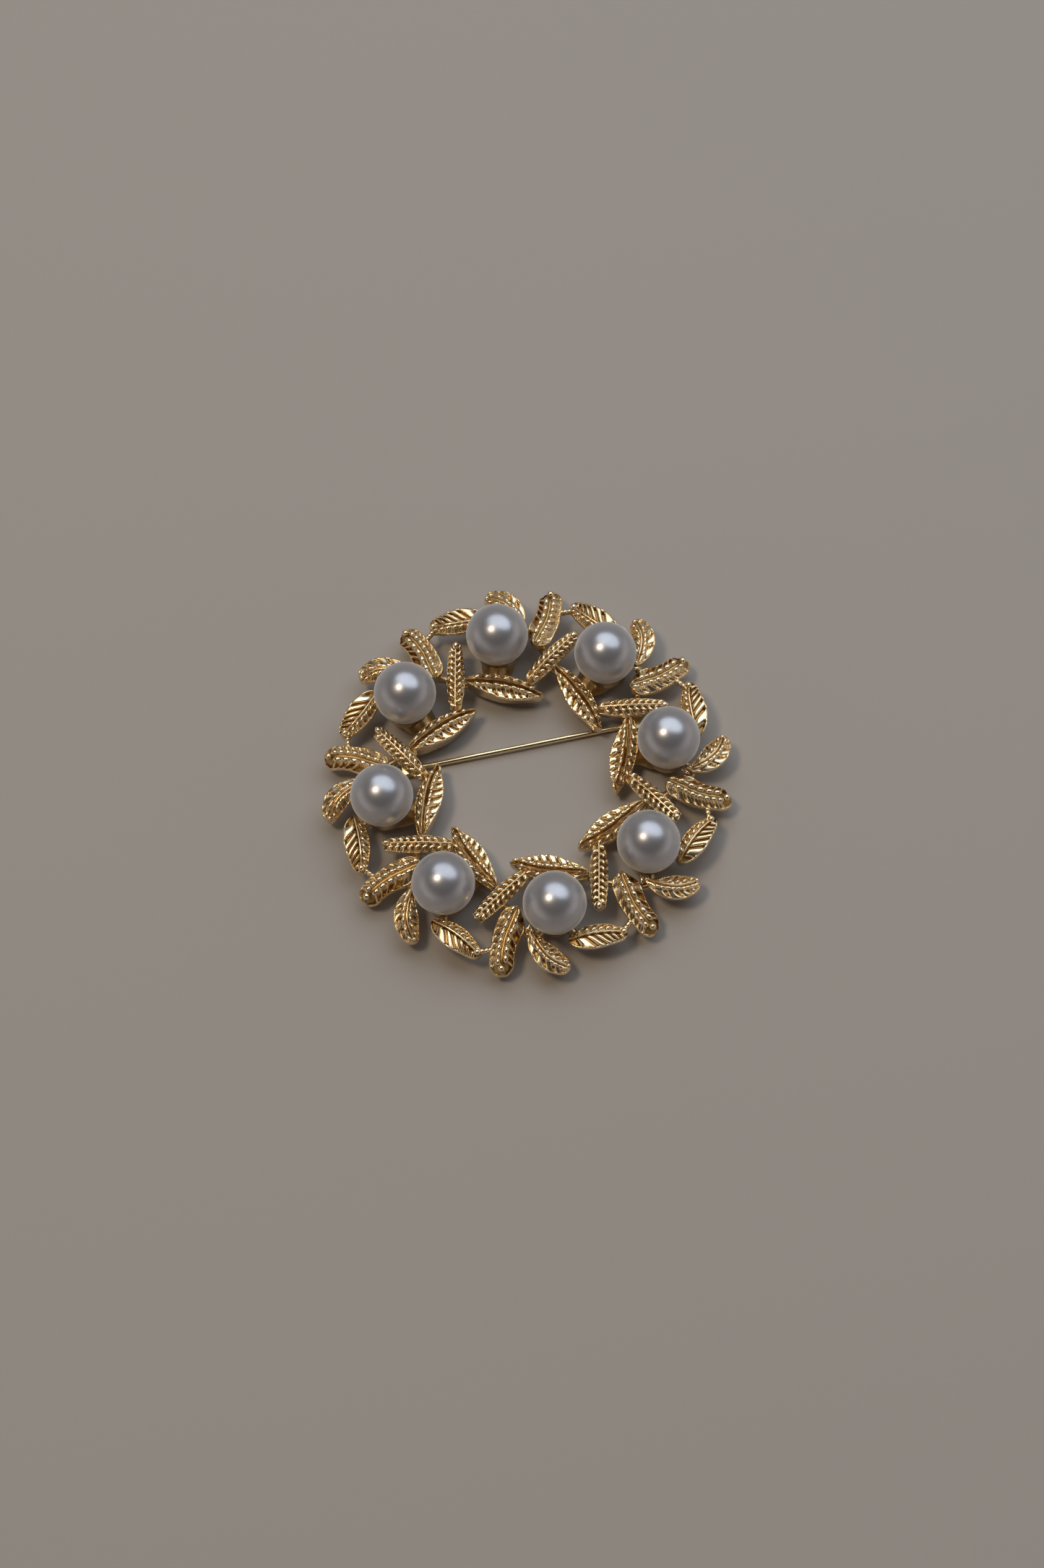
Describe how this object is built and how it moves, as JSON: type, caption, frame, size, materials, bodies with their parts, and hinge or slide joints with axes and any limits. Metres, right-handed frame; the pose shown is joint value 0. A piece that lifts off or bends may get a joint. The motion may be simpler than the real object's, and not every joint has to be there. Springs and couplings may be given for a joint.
{
  "type": "wreath brooch",
  "caption": "Round brooch: a cast wreath of ribbed leaves that carries a ring of pearls on cups, open in the middle, with a hinged pin across its back.",
  "frame": {"origin": "on the surface that the brooch rests on, under the centre of the ring of pearls", "axes": "+Z out of the brooch's face, +X along the pin from its hinge to its point, +Y from the ring's centre towards the first pearl, which is worn uppermost"},
  "size_m": [0.0534, 0.0534, 0.0115],
  "materials": {
    "plated_casting": "polished light gold plate",
    "pearl": "satin pearl lustre",
    "pin_wire": "polished light gold plate"
  },
  "bodies": {
    "wreath": {"wreath_casting": "plated_casting", "pearl_1": "pearl", "pearl_2": "pearl", "pearl_3": "pearl", "pearl_4": "pearl", "pearl_5": "pearl", "pearl_6": "pearl", "pearl_7": "pearl", "pearl_8": "pearl"},
    "pin": {"pin_stem": "pin_wire"}
  },
  "joints": [
    {"name": "pin_hinge", "type": "hinge", "parent": "wreath", "child": "pin", "pos_m": [-0.0143, 0.0053, 0.00075], "axis": [0, 1, 0], "range_deg": [0, 90]}
  ]
}
